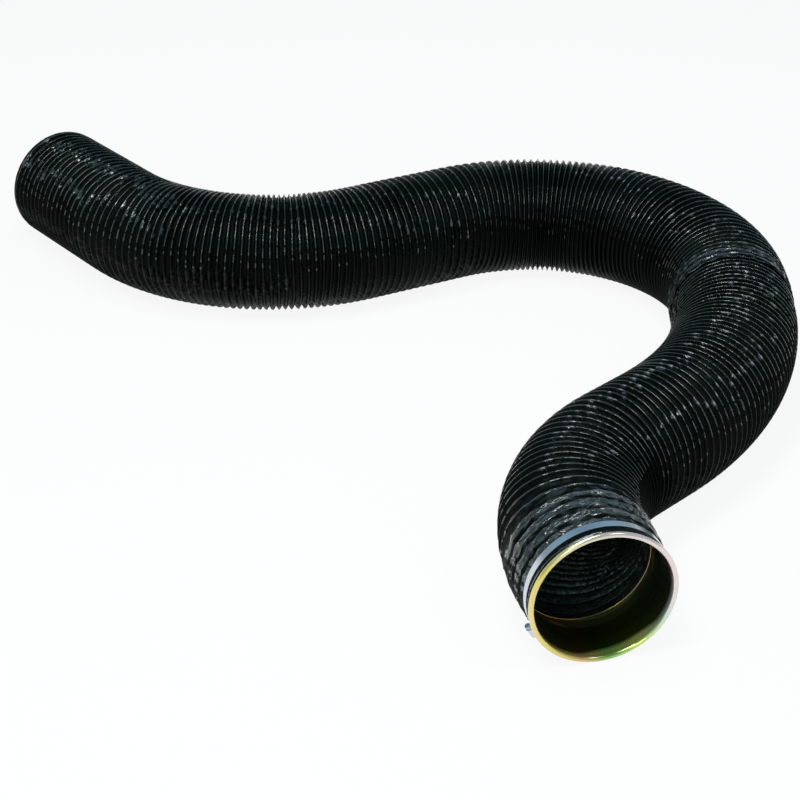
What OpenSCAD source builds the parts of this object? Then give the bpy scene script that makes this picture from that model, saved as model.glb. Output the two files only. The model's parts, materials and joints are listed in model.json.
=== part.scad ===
// Flexible air duct: two lengths of film duct on a spring wire, lying on the floor in an S.
// The near end is clamped on a rolled steel collar, and the far end is open.
// The mouth of the collar is at the origin. The duct leaves it along +Y, and +Z is up.

/* [Duct] */
// Clear inside diameter of the duct, inside its wire
duct_d = 200; // [160:1:260]
// Diameter of the spring wire
wire_d = 1.6; // [1:0.1:2.4]
// Thickness of the film
film_t = 0.8; // [0.5:0.1:1.2]
// Height of a rib above the valleys beside it
rib_h = 4.2; // [2.5:0.1:6]
// Distance from rib to rib where the duct lies at rest
rib_pitch = 14.5; // [13:0.5:20]
// Distance from rib to rib where the film is drawn over the collar
cuff_pitch = 20; // [16:1:30]
// Width of the land on the crest of a rib
crest_w = 1.6; // [1:0.1:3]
// Depth to which the ribs are pressed flat on the floor
floor_flat = 0.5; // [0.3:0.1:0.8]

/* [Route] */
// Straight length held by the collar
cuff_len = 98; // [96:1:140]
// Length of the bend behind the collar
front_bend_len = 290; // [200:5:320]
// Right turn of that bend, in degrees
front_bend_turn = 59; // [20:1:70]
// Straight length after it
front_run_len = 85; // [60:1:160]
// Length of the slow bend that leads to the lap
front_sweep_len = 455; // [300:5:600]
// Left turn of that bend, in degrees
front_sweep_turn = 42; // [15:1:70]
// Length of the front duct's end inside the rear duct's mouth
lap_len = 46; // [36:1:70]
// Length of the main bend
main_bend_len = 700; // [650:5:900]
// Left turn of the main bend, in degrees
main_bend_turn = 121; // [60:1:130]
// Straight length after the main bend
rear_run_len = 195; // [120:1:320]
// Length of the bend at the tail
tail_bend_len = 500; // [400:5:650]
// Right turn of that bend, in degrees
tail_bend_turn = 78; // [30:1:90]
// Straight length of the tail that keeps its shape
tail_run_len = 105; // [80:1:200]
// Straight length of the tail that stretches and closes up
tail_end_len = 120; // [100:1:200]
// Length of the turned-in film at the far end
hem_len = 14; // [10:1:20]

/* [Lap] */
// Height of the pressed ribs of the front duct inside the lap
lap_rib_h = 1.2; // [0.6:0.1:1.6]
// Distance from the front duct's last full rib to the lip of the rear duct
lip_setback = 10; // [6:1:16]
// Length of the neck in which the rear duct draws in behind the lap
neck_len = 14; // [10:1:24]
// Folds of film on the mouth of the rear duct
mouth_folds = 3; // [2:1:5]

/* [Collar] */
// Slack of the collar in the duct, per side
collar_slack = 0.7; // [0.5:0.1:0.9]
// Thickness of the collar's sheet steel
collar_sheet = 1.2; // [0.8:0.1:1.6]
// Length of the collar from its mouth to its inner end
collar_len = 91; // [80:1:94]
// Diameter of the bead rolled on the mouth
bead_d = 8.2; // [6:0.1:9]
// Distance from the bead to the edge of the film
film_setback = 2.5; // [1:0.5:4]

/* [Clamp] */
// Width of the clamp band
band_w = 12.7; // [8:0.1:14]
// Thickness of the clamp band
band_t = 0.7; // [0.5:0.1:1]
// Distance from the mouth to the middle of the band
band_y = 29; // [26:1:34]
// Distance from the band to the first rib behind it
rib_setback = 5; // [3:0.5:8]
// Angle of the clamp housing below the horizontal, on the left of the mouth, in degrees
housing_a = 33; // [10:1:45]
// Overlap of the band past the housing, in degrees
overlap_a = 26; // [18:1:40]
// Length of the clamp housing along the band
housing_len = 16; // [12:1:22]
// Wall of the clamp housing
housing_wall = 1.4; // [1:0.1:2]
// Outside diameter of the worm screw
screw_d = 7; // [6:0.5:9]
// Distance from thread to thread on the worm screw
screw_pitch = 2.2; // [1.6:0.1:3]
// Width of the screw's hexagon across its flats
head_af = 8; // [7:0.5:10]
// Height of the screw's hexagon
head_h = 4.6; // [3:0.1:7]

/* [Fit] */
// Clearance between pieces that lie in or over each other
fit_gap = 0.3; // [0.25:0.05:0.4]
// Running clearance of the screw in its housing
run_gap = 0.15; // [0.1:0.01:0.2]

/* [Hidden] */
$fn = 96;

film_color = "#1b1e21";
wire_color = "#8d9297";
collar_color = "#c9a94e";
band_color = "#c3ccd6";

// Radii, from the wire outwards
wire_path_r = duct_d/2 + wire_d/2;
film_bore_r = duct_d/2 + wire_d + fit_gap;
valley_r = film_bore_r + film_t;
crest_r = valley_r + rib_h;
floor_r = crest_r - floor_flat;
collar_r = duct_d/2 - collar_slack;
collar_bore_r = collar_r - collar_sheet;
lap_crest_r = valley_r + lap_rib_h;
mouth_bore_r = lap_crest_r + fit_gap;
band_r = valley_r + fit_gap;
overlap_r = band_r + 2*band_t;

// Sides of a ring of film in a bend, with a flat side on the floor
film_sides = 12;
// Turn of a bend between two rings of its bore, in degrees
bore_step_a = 3.5;
// Steps of a turn of wire: finer round the collar, and where a spigot slips in
wire_steps = 8;
round_wire_steps = 32;
// Sides of the wire
wire_sides = 3;
// Larger than the whole duct, for cuts
beyond = 4000;

// The film over the collar starts just behind the bead
film_y = bead_d + film_setback;
cuff_rib_y = band_y + band_w/2 + rib_setback;
// Ribs over which the film rises from the band to its full height
cuff_rise = 3;

// A place on the route: x, y and the heading, clockwise from +Y
function along(start, len, turn, t) =
    turn == 0
    ? [start[0] + len*t*sin(start[2]), start[1] + len*t*cos(start[2]), start[2]]
    : let (r = len*180/(PI*turn), h = start[2] + turn*t)
      [start[0] + r*(cos(start[2]) - cos(h)), start[1] + r*(sin(h) - sin(start[2])), h];

// The same inside a stretch that is drawn in by a gap at both ends
function inset_along(start, len, turn, gap, t) =
    along(start, len, turn, (gap + (len - 2*gap)*t)/len);

mouth = [0, 0, 0];
front_bend_at = along(mouth, cuff_len, 0, 1);
front_run_at = along(front_bend_at, front_bend_len, front_bend_turn, 1);
front_sweep_at = along(front_run_at, front_run_len, 0, 1);
lap_at = along(front_sweep_at, front_sweep_len, -front_sweep_turn, 1);
main_bend_at = along(lap_at, lap_len + neck_len, 0, 1);
rear_run_at = along(main_bend_at, main_bend_len, -main_bend_turn, 1);
tail_bend_at = along(rear_run_at, rear_run_len, 0, 1);
tail_run_at = along(tail_bend_at, tail_bend_len, tail_bend_turn, 1);
tail_end_at = along(tail_run_at, tail_run_len, 0, 1);
hem_at = along(tail_end_at, tail_end_len, 0, 1);

// Whole ribs, and whole turns of wire, in a length
function ribs(len, pitch) = max(1, round(len/pitch));

// A point beside and above a place on the route
function beside(place, side, up) =
    [place[0] + side*cos(place[2]), place[1] - side*sin(place[2]), up];

// A ring of film whose sides touch a circle of radius r
function film_ring(place, r) =
    [for (j = [0:film_sides - 1])
        let (a = 360*(j + 0.5)/film_sides, corner_r = r/cos(180/film_sides))
        beside(place, corner_r*cos(a), corner_r*sin(a))];

// Two triangles for each side between ring a and ring b, seen from outside
function band_faces(a, b, sides) =
    [for (j = [0:sides - 1], half = [0, 1])
        let (k = (j + 1)%sides)
        half == 0 ? [a + j, a + k, b + k] : [a + j, b + k, b + j]];

// Film of a bend: ribs outside, a smooth bore inside, and flat ends just clear of the next stretch
module bend_film(start, len, turn) {
    n = ribs(len, rib_pitch);
    bore_n = ceil(abs(turn)/bore_step_a);
    outside = [for (i = [0:2*n])
        film_ring(inset_along(start, len, turn, fit_gap, i/(2*n)), i%2 == 0 ? valley_r : floor_r)];
    inside = [for (i = [0:bore_n])
        film_ring(inset_along(start, len, turn, fit_gap, i/bore_n), film_bore_r)];
    points = [for (ring = concat(outside, inside)) each ring];
    bore_at = (2*n + 1)*film_sides;
    outside_faces = [for (i = [0:2*n - 1]) each
        band_faces(i*film_sides, (i + 1)*film_sides, film_sides)];
    bore_faces = [for (i = [0:bore_n - 1]) each
        band_faces(bore_at + (i + 1)*film_sides, bore_at + i*film_sides, film_sides)];
    near_end = band_faces(bore_at, 0, film_sides);
    far_end = band_faces(2*n*film_sides, bore_at + bore_n*film_sides, film_sides);
    polyhedron(points, concat(outside_faces, bore_faces, near_end, far_end));
}

// Outline of ribbed film along a straight: from the far end back to the near one
function rib_outline(y, n, pitch, tops) =
    [for (i = [n - 1:-1:0]) each
        [[valley_r, y + (i + 1)*pitch],
         [tops[i], y + (i + 0.5)*pitch + crest_w/2],
         [tops[i], y + (i + 0.5)*pitch - crest_w/2]]];

// Turns an outline about the duct's axis at a place on the route, flat on the floor
module turned(place) {
    difference() {
        translate([place[0], place[1], 0])
            rotate([-90, 0, -place[2]])
            rotate_extrude()
            children();
        translate([-beyond, -beyond, -floor_r - beyond])
            cube([2*beyond, 2*beyond, beyond]);
    }
}

// Film of a straight, with a true bore
module straight_film(place, len, top_r) {
    n = ribs(len, rib_pitch);
    turned(place)
        polygon(concat([[film_bore_r, 0], [film_bore_r, len]],
            rib_outline(0, n, len/n, [for (i = [1:n]) top_r]),
            [[valley_r, 0]]));
}

// Path of a wire: whole turns inside a stretch, starting and ending on the right
function wire_path(start, len, turn, turns, steps) =
    [for (i = [0:turns*steps])
        let (place = inset_along(start, len, turn, wire_d, i/(turns*steps)), a = 360*i/steps)
        [place, a]];

// One unbroken wire, with its least gap from turn to turn
module wire(name, start, len, turn, pitch, steps) {
    turns = ribs(len, pitch);
    path = wire_path(start, len, turn, turns, steps);
    centres = [for (p = path) beside(p[0], wire_path_r*cos(p[1]), wire_path_r*sin(p[1]))];
    rings = [for (p = path)
        [for (j = [0:wire_sides - 1])
            let (b = 360*j/wire_sides,
                r = wire_path_r + wire_d/2*cos(b),
                c = beside(p[0], r*cos(p[1]), r*sin(p[1])),
                lead = wire_d/2*sin(b))
            c + lead*[sin(p[0][2]), cos(p[0][2]), 0]]];
    last = len(rings) - 1;
    sides = [for (i = [0:last - 1]) each
        band_faces((i + 1)*wire_sides, i*wire_sides, wire_sides)];
    near_end = [[for (j = [0:wire_sides - 1]) j]];
    far_end = [[for (j = [wire_sides - 1:-1:0]) last*wire_sides + j]];
    polyhedron([for (ring = rings) each ring], concat(sides, near_end, far_end));
    if (turns > 1) {
        gap = min([for (i = [0:last - steps]) norm(centres[i + steps] - centres[i])]) - wire_d;
        echo(wire = name, turns = turns, least_gap = gap);
    }
}

// Collar: a sheet steel spigot with its edge rolled outwards into an open curl
module end_collar() {
    bead_r = bead_d/2;
    color(collar_color)
        rotate([-90, 0, 0])
        rotate_extrude() {
            translate([collar_bore_r, bead_r])
                square([collar_sheet, collar_len - bead_r]);
            translate([collar_bore_r + bead_r, bead_r])
                difference() {
                    circle(bead_r);
                    circle(bead_r - collar_sheet);
                    translate([-bead_r, 0])
                        square([bead_r, bead_r]);
                }
        }
}

// Turns what is drawn at the top of the band round to the clamp housing
module at_housing() {
    translate([0, band_y, 0])
        rotate([0, -90 - housing_a, 0])
        children();
}

// Clamp band: a steel strap whose slotted end passes through the housing and on over itself
module clamp_band() {
    slot_w = screw_pitch/2;
    slot_l = band_w*0.6;
    housing_half_a = asin(housing_len/2/overlap_r);
    slot_a = 2*slot_w*180/(PI*overlap_r);
    color(band_color)
        at_housing()
        rotate([90, 0, 0])
        difference() {
            union() {
                translate([0, 0, -band_w/2])
                    rotate_extrude()
                    translate([band_r, 0])
                    square([band_t, band_w]);
                rotate([0, 0, 90 - housing_half_a])
                    translate([0, 0, -band_w/2])
                    rotate_extrude(angle = 2*housing_half_a + overlap_a)
                    translate([band_r + band_t/2, 0])
                    square([1.5*band_t, band_w]);
            }
            for (a = [90 + housing_half_a + slot_a:slot_a:90 + housing_half_a + overlap_a - 2*slot_a])
                rotate([0, 0, a])
                translate([band_r + band_t, -slot_w/2, -slot_l/2])
                cube([2*band_t, slot_w, slot_l]);
        }
}

// The worm lies just over the band, in a housing that is open underneath
screw_r = screw_d/2;
screw_z = overlap_r + fit_gap + screw_r;
housing_bore_r = screw_r + run_gap;

module clamp_housing() {
    half_w = band_w/2 + fit_gap + housing_wall;
    top_r = housing_bore_r + housing_wall;
    slot_w = housing_bore_r*1.5;
    color(band_color)
        at_housing()
        difference() {
            union() {
                translate([-housing_len/2, -half_w, band_r])
                    cube([housing_len, 2*half_w, screw_z - band_r]);
                translate([-housing_len/2, 0, screw_z])
                    rotate([0, 90, 0])
                    cylinder(r = top_r, h = housing_len);
            }
            translate([-housing_len, 0, screw_z])
                rotate([0, 90, 0])
                cylinder(r = housing_bore_r, h = 2*housing_len);
            translate([-housing_len, -slot_w/2, band_r - band_t])
                cube([2*housing_len, slot_w, screw_z - band_r]);
            rotate([90, 0, 0])
                cylinder(r = overlap_r + run_gap, h = band_w + 2*fit_gap, center = true);
            rotate([90, 0, 0])
                cylinder(r = band_r, h = 4*band_w, center = true);
        }
}

// Worm screw with a hexagon head, held in its housing by a collar at each end
module clamp_screw() {
    root_r = screw_r - screw_pitch/3;
    flange_t = 1;
    slot_w = 1.2;
    slot_d = 1.4;
    near_x = -housing_len/2 - fit_gap;
    threads = floor(housing_len/screw_pitch);
    thread_y = (housing_len + 2*fit_gap - threads*screw_pitch)/2;
    outline = [for (i = [0:threads - 1]) each
        [[root_r, thread_y + i*screw_pitch],
         [screw_r, thread_y + (i + 0.35)*screw_pitch],
         [screw_r, thread_y + (i + 0.65)*screw_pitch]]];
    span = housing_len + 2*fit_gap;
    color(band_color)
        at_housing()
        translate([near_x, 0, screw_z])
        rotate([0, 90, 0])
        difference() {
            union() {
                rotate_extrude()
                    polygon(concat([[0, -flange_t], [screw_r, -flange_t], [screw_r, 0], [root_r, 0]],
                        outline, [[root_r, span], [screw_r + flange_t, span],
                        [screw_r + flange_t, span + flange_t], [0, span + flange_t]]));
                translate([0, 0, span + flange_t/2])
                    cylinder(r = head_af/2/cos(30), h = flange_t/2 + head_h, $fn = 6);
            }
            translate([-head_af, -slot_w/2, span + flange_t + head_h - slot_d])
                cube([2*head_af, slot_w, 2*slot_d]);
        }
}

// Film drawn over the collar: flat under the band, then rising to full ribs
module cuff_film() {
    len = cuff_len - cuff_rib_y;
    n = ribs(len, cuff_pitch);
    tops = [for (i = [1:n]) valley_r + rib_h*min(1, i/cuff_rise)];
    color(film_color)
        turned(mouth)
        polygon(concat([[film_bore_r, film_y], [film_bore_r, cuff_len]],
            rib_outline(cuff_rib_y, n, len/n, tops),
            [[valley_r, cuff_rib_y], [valley_r, film_y]]));
}

module cuff_wire() {
    color(wire_color)
        wire("cuff", along(mouth, film_y, 0, 1), cuff_len - film_y, 0, cuff_pitch, round_wire_steps);
}

module front_bend_film() {
    color(film_color)
        bend_film(front_bend_at, front_bend_len, front_bend_turn);
}

module front_bend_wire() {
    color(wire_color)
        wire("front bend", front_bend_at, front_bend_len, front_bend_turn, rib_pitch, wire_steps);
}

module front_run_film() {
    color(film_color)
        straight_film(front_run_at, front_run_len, crest_r);
}

module front_run_wire() {
    color(wire_color)
        wire("front run", front_run_at, front_run_len, 0, rib_pitch, wire_steps);
}

module front_sweep_film() {
    color(film_color)
        bend_film(front_sweep_at, front_sweep_len, -front_sweep_turn);
}

module front_sweep_wire() {
    color(wire_color)
        wire("front sweep", front_sweep_at, front_sweep_len, -front_sweep_turn, rib_pitch, wire_steps);
}

// End of the front duct, its ribs pressed in by the mouth of the rear duct
module front_tail_film() {
    color(film_color)
        straight_film(lap_at, lap_len, lap_crest_r);
}

module front_tail_wire() {
    color(wire_color)
        wire("front tail", lap_at, lap_len, 0, rib_pitch, wire_steps);
}

// Mouth of the rear duct: loose film drawn over the end of the front duct
module rear_mouth_film() {
    mouth_r = mouth_bore_r + film_t;
    fold = (lap_len - lip_setback)/mouth_folds;
    end_y = lap_len + neck_len;
    folds = [for (i = [mouth_folds - 1:-1:0]) each
        [[mouth_r, lip_setback + (i + 1)*fold],
         [crest_r, lip_setback + (i + 0.4)*fold + crest_w/2],
         [crest_r, lip_setback + (i + 0.4)*fold - crest_w/2]]];
    color(film_color)
        turned(lap_at)
        polygon(concat([[mouth_bore_r, lip_setback], [mouth_bore_r, lap_len + 2*fit_gap],
            [film_bore_r, end_y], [valley_r, end_y]],
            folds, [[mouth_r, lip_setback]]));
}

module main_bend_film() {
    color(film_color)
        bend_film(main_bend_at, main_bend_len, -main_bend_turn);
}

module main_bend_wire() {
    color(wire_color)
        wire("main bend", main_bend_at, main_bend_len, -main_bend_turn, rib_pitch, wire_steps);
}

module rear_run_film() {
    color(film_color)
        straight_film(rear_run_at, rear_run_len, crest_r);
}

module rear_run_wire() {
    color(wire_color)
        wire("rear run", rear_run_at, rear_run_len, 0, rib_pitch, wire_steps);
}

module tail_bend_film() {
    color(film_color)
        bend_film(tail_bend_at, tail_bend_len, tail_bend_turn);
}

module tail_bend_wire() {
    color(wire_color)
        wire("tail bend", tail_bend_at, tail_bend_len, tail_bend_turn, rib_pitch, wire_steps);
}

module tail_run_film() {
    color(film_color)
        straight_film(tail_run_at, tail_run_len, crest_r);
}

module tail_run_wire() {
    color(wire_color)
        wire("tail run", tail_run_at, tail_run_len, 0, rib_pitch, wire_steps);
}

// Film of the tail's last stretch, just clear of the run that it closes up against
module tail_end_film() {
    color(film_color)
        straight_film(along(tail_end_at, fit_gap, 0, 1), tail_end_len - fit_gap, crest_r);
}

module tail_end_wire() {
    color(wire_color)
        wire("tail end", tail_end_at, tail_end_len, 0, rib_pitch, round_wire_steps);
}

// Hem of the far end: film turned in over the last coil, with a true bore
module tail_hem() {
    color(film_color)
        turned(hem_at)
        polygon([[duct_d/2, 0], [duct_d/2, hem_len], [valley_r, hem_len],
            [crest_r, hem_len/2 + crest_w/2], [crest_r, hem_len/2 - crest_w/2], [valley_r, 0]]);
}

end_collar();
clamp_band();
clamp_housing();
clamp_screw();
cuff_film();
cuff_wire();
front_bend_film();
front_bend_wire();
front_run_film();
front_run_wire();
front_sweep_film();
front_sweep_wire();
front_tail_film();
front_tail_wire();
rear_mouth_film();
main_bend_film();
main_bend_wire();
rear_run_film();
rear_run_wire();
tail_bend_film();
tail_bend_wire();
tail_run_film();
tail_run_wire();
tail_end_film();
tail_end_wire();
tail_hem();
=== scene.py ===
import json
import math

import bpy
import numpy as np
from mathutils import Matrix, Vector

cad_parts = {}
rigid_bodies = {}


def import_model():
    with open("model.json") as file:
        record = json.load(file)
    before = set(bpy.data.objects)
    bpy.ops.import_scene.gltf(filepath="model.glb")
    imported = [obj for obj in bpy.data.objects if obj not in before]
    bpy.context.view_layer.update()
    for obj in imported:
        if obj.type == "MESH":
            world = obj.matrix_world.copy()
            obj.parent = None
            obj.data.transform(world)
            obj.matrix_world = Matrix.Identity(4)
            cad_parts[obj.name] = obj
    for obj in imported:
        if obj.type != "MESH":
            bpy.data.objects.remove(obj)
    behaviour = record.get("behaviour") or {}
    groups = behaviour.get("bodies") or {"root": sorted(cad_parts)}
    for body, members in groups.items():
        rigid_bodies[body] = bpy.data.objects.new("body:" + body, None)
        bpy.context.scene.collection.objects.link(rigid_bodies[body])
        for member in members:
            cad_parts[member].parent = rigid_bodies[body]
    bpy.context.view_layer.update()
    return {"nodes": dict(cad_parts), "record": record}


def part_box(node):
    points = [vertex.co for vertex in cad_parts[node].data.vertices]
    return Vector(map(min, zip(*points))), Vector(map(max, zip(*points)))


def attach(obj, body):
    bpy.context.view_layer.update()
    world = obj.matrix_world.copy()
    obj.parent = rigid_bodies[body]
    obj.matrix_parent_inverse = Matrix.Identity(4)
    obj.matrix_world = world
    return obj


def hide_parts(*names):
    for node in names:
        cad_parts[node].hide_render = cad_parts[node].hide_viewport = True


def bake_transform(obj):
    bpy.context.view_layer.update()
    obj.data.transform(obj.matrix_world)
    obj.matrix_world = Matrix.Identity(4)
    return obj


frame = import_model()
nodes = frame["nodes"]
mounts = {mount["name"]: mount for mount in frame["record"]["mounts"]}

# End collar: a spigot rolled from sheet steel, zinc plated and yellow passivated. Its mouth's edge is
# curled outwards into a hollow bead, which stiffens it and keeps the clamped film from sliding off.
COLLAR_BORE_R = mounts["collar_mouth"]["dims"]["r_mm"] / 1000
COLLAR_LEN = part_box("end_collar")[1].y
BEAD_OUTER_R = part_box("end_collar")[1].z
BEAD_R = (BEAD_OUTER_R - COLLAR_BORE_R) / 2
COLLAR_SHEET = 0.0012
COLLAR_SIDES = 240
# The bead is curled round by this many degrees
CURL = 265
CURL_STEPS = 28
# The inner end is turned in over a small round, so that film slides over it
CRIMP_R = 0.0008
CRIMP_ANGLES = [0, 30, 60, 90, 115, 140, 160, 180]
# How far the rolled mouth is out of round, and in how many lobes
OUT_OF_ROUND = 0.0002
LOBES = 3
FIRST_LOBE = 0.8
# Colours of the chromate round the mouth, as shares of a turn from the left by the bottom. The green at 0.3
# tints the painted pool of light inside.
CHROMATE = [(0.0, "f3dc98"), (0.1, "e8d978"), (0.18, "e6d070"), (0.24, "e4ba78"),
            (0.3, "8fbf65"), (0.38, "d2e07c"), (0.46, "cfe2d4"), (0.53, "efdcdc"),
            (0.66, "eedcd8"), (0.75, "e6deca"), (0.87, "e2d268"), (1.0, "f3dc98")]
# Colours down the inside, as shares of the collar's length: the bead's own, then olive darkened as painted
# shade, then the coppery crimped end
INSIDE_AND_SHADE = [(0.05, "ffffff"), (0.14, "414a2c"), (0.978, "3c4028"), (0.982, "f0b090")]
# A painted pool of light: at the lower right, between two shares of the bore's radius, the bright colour of
# the mouth comes to reach further in.
LIT_SIDE = (0.34, 0, -0.94)
LIT_SIDE_EDGE = (0.78, 0.98)
LIT_REACH = 0.008
# Roughness of the polished bead and of the satin inside, and what the roll marks add to it
SATIN = (0.14, 0.18)
ROLL_MARKS = 0.14


def linear(code):
    """An sRGB hex colour as linear RGBA."""
    parts = [int(code[i:i + 2], 16) / 255 for i in (0, 2, 4)]
    return [p / 12.92 if p <= 0.04045 else ((p + 0.055) / 1.055) ** 2.4 for p in parts] + [1.0]


def add(tree, kind, settings=None, inputs=None):
    """Adds a node, sets its properties and sockets, and links the sockets that are given an output."""
    node = tree.nodes.new(kind)
    for name, value in (settings or {}).items():
        setattr(node, name, value)
    for key, value in (inputs or {}).items():
        if isinstance(value, bpy.types.NodeSocket):
            tree.links.new(value, node.inputs[key])
        else:
            node.inputs[key].default_value = value
    return node


def new_material(name):
    """A material with a bare shader, its node tree and that shader."""
    material = bpy.data.materials.new(name)
    material.use_nodes = True
    return material, material.node_tree, material.node_tree.nodes["Principled BSDF"]


def colour_band(tree, factor, stops):
    """A ramp through hex colours at places from 0 to 1."""
    ramp = add(tree, "ShaderNodeValToRGB", inputs={"Fac": factor})
    elements = ramp.color_ramp.elements
    while len(elements) < len(stops):
        elements.new(0.5)
    for element, (place, code) in zip(elements, stops):
        element.position = place
        element.color = linear(code)
    return ramp.outputs["Color"]


def new_piece(name, points, faces, material, slot):
    """A smooth mesh piece in the shared frame, with its finish."""
    mesh = bpy.data.meshes.new(name)
    mesh.from_pydata(points, [], faces)
    mesh.validate()
    mesh.shade_smooth()
    mesh.materials.append(material)
    piece = bpy.data.objects.new(name, mesh)
    bpy.context.scene.collection.objects.link(piece)
    return piece


def yellow_passivated_zinc():
    """Yellow chromate on zinc: a clear film whose gold runs to green and pink, over faint roll marks."""
    material, tree, shader = new_material("yellow_passivated_zinc")
    place = add(tree, "ShaderNodeTexCoord").outputs["Object"]
    # The bath drained off to one side, so the colour runs round the mouth, with patches some 60 mm long.
    # Its green at the lower right tints the painted pool of light there.
    patches = add(tree, "ShaderNodeTexNoise", inputs={"Vector": place, "Scale": 17, "Detail": 2})
    shifted = add(tree, "ShaderNodeVectorMath", {"operation": "MULTIPLY_ADD"},
                  {0: patches.outputs["Color"], 1: (0.03, 0.03, 0.03), 2: place})
    parts = add(tree, "ShaderNodeSeparateXYZ", inputs={0: shifted.outputs[0]})
    across = add(tree, "ShaderNodeCombineXYZ", inputs={0: parts.outputs["X"], 1: parts.outputs["Z"]})
    turn = add(tree, "ShaderNodeTexGradient", {"gradient_type": "RADIAL"}, {0: across.outputs[0]})
    bright = colour_band(tree, turn.outputs["Fac"], CHROMATE)
    # Down the inside the colour is darkened to olive, painted shade, up to the coppery crimped end
    whole = add(tree, "ShaderNodeSeparateXYZ", inputs={0: place})
    # Painted pool of light: towards the lower right the bright colour reaches further in
    towards = add(tree, "ShaderNodeVectorMath", {"operation": "DOT_PRODUCT"}, {0: place, 1: LIT_SIDE})
    painted_light_pool = add(tree, "ShaderNodeMapRange", {"interpolation_type": "SMOOTHSTEP"},
               {"Value": towards.outputs["Value"], "From Min": LIT_SIDE_EDGE[0] * COLLAR_BORE_R,
                "From Max": LIT_SIDE_EDGE[1] * COLLAR_BORE_R, "To Max": LIT_REACH})
    depth = add(tree, "ShaderNodeMapRange",
                inputs={"Value": whole.outputs["Y"], "From Min": painted_light_pool.outputs[0], "From Max": COLLAR_LEN})
    inner = colour_band(tree, depth.outputs[0], INSIDE_AND_SHADE)
    chromate_shade_and_light = add(tree, "ShaderNodeMix", {"data_type": "RGBA", "blend_type": "MULTIPLY"},
               {"Factor": 1.0, 6: bright, 7: inner})
    tree.links.new(chromate_shade_and_light.outputs[2], shader.inputs["Base Color"])
    # Roll marks, about 0.6 mm apart along the collar and long around it
    stretched = add(tree, "ShaderNodeMapping", inputs={"Vector": place, "Scale": (12, 1600, 12)})
    marks = add(tree, "ShaderNodeTexNoise",
                inputs={"Vector": stretched.outputs[0], "Scale": 1, "Detail": 2})
    # Rolling polished the bead, and the inside kept the sheet's own satin
    satin = add(tree, "ShaderNodeMapRange",
                inputs={"Value": whole.outputs["Y"], "From Min": BEAD_R, "From Max": 2.5 * BEAD_R,
                        "To Min": SATIN[0], "To Max": SATIN[1]})
    gloss = add(tree, "ShaderNodeMath", {"operation": "MULTIPLY_ADD"},
                {0: marks.outputs["Fac"], 1: ROLL_MARKS, 2: satin.outputs[0]})
    tree.links.new(gloss.outputs[0], shader.inputs["Roughness"])
    bump = add(tree, "ShaderNodeBump",
               inputs={"Height": marks.outputs["Fac"], "Strength": 0.05, "Distance": 0.0002})
    tree.links.new(bump.outputs[0], shader.inputs["Normal"])
    shader.inputs["Metallic"].default_value = 0.7
    shader.inputs["Coat Weight"].default_value = 0.6
    shader.inputs["Coat Roughness"].default_value = 0.08
    return material


def turned_about_y(outline, sides, swell):
    """Points and faces of a closed outline of (y, r) turned about the mouth's axis."""
    points = []
    for j in range(sides):
        angle = math.tau * j / sides
        points += [((r + swell(angle)) * math.cos(angle), y, (r + swell(angle)) * math.sin(angle))
                   for y, r in outline]
    n = len(outline)
    faces = [(j * n + i, j * n + (i + 1) % n,
              (j + 1) % sides * n + (i + 1) % n, (j + 1) % sides * n + i)
             for j in range(sides) for i in range(n)]
    return points, faces


def curl(r, first, last):
    """Places (y, r) on the bead's curl, whose angles start at the bore and go round by the mouth."""
    angles = np.radians(np.linspace(first, last, CURL_STEPS))
    return [(BEAD_R - r * math.sin(a), COLLAR_BORE_R + BEAD_R - r * math.cos(a)) for a in angles]


def out_of_round(angle):
    """Swell of the rolled mouth against a true round: inwards, in a few lobes."""
    return -OUT_OF_ROUND * (1 - math.cos(LOBES * angle + FIRST_LOBE)) / 2


collar_outline = (
    [(COLLAR_LEN - CRIMP_R * (1 - math.cos(a)), COLLAR_BORE_R - CRIMP_R * math.sin(a))
     for a in np.radians(CRIMP_ANGLES)]
    + [(COLLAR_LEN * 0.5, COLLAR_BORE_R)]
    + curl(BEAD_R, 0, CURL)
    + curl(BEAD_R - COLLAR_SHEET, CURL, 0)
    + [(COLLAR_LEN * 0.5, COLLAR_BORE_R + COLLAR_SHEET), (COLLAR_LEN, COLLAR_BORE_R + COLLAR_SHEET)]
)
collar = new_piece("rolled_collar", *turned_about_y(collar_outline, COLLAR_SIDES, out_of_round),
                   yellow_passivated_zinc(), "yellow_zinc_steel")
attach(collar, "collar_end")
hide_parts("end_collar")

# Clamp band and its housing: bright rolled steel strip drawn tight round the film, with the strip's
# slotted end lapped through a pressed housing. Rolling leaves fine lines along the strip.
STRIP = "cfd6de"


def bright_rolled_strip():
    """Cold rolled steel: mirror bright across the light, drawn into faint lines along the strip."""
    material, tree, shader = new_material("bright_rolled_strip")
    place = add(tree, "ShaderNodeTexCoord").outputs["Object"]
    # Rolling lines, about 0.5 mm apart across the strip
    stretched = add(tree, "ShaderNodeMapping", inputs={"Vector": place, "Scale": (15, 2000, 15)})
    lines = add(tree, "ShaderNodeTexNoise",
                inputs={"Vector": stretched.outputs[0], "Scale": 1, "Detail": 3})
    gloss = add(tree, "ShaderNodeMapRange",
                inputs={"Value": lines.outputs["Fac"], "To Min": 0.12, "To Max": 0.3})
    tree.links.new(gloss.outputs[0], shader.inputs["Roughness"])
    shader.inputs["Base Color"].default_value = linear(STRIP)
    shader.inputs["Metallic"].default_value = 1
    return material


strip_finish = bright_rolled_strip()
for name in ("clamp_band", "clamp_housing"):
    nodes[name].data.materials.clear()
    nodes[name].data.materials.append(strip_finish)

# Worm screw: turned from free-cutting steel with a hexagon head, and zinc plated. It is held in the
# housing and turns the band's slots along.
ZINC = "b4b8bc"


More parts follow.
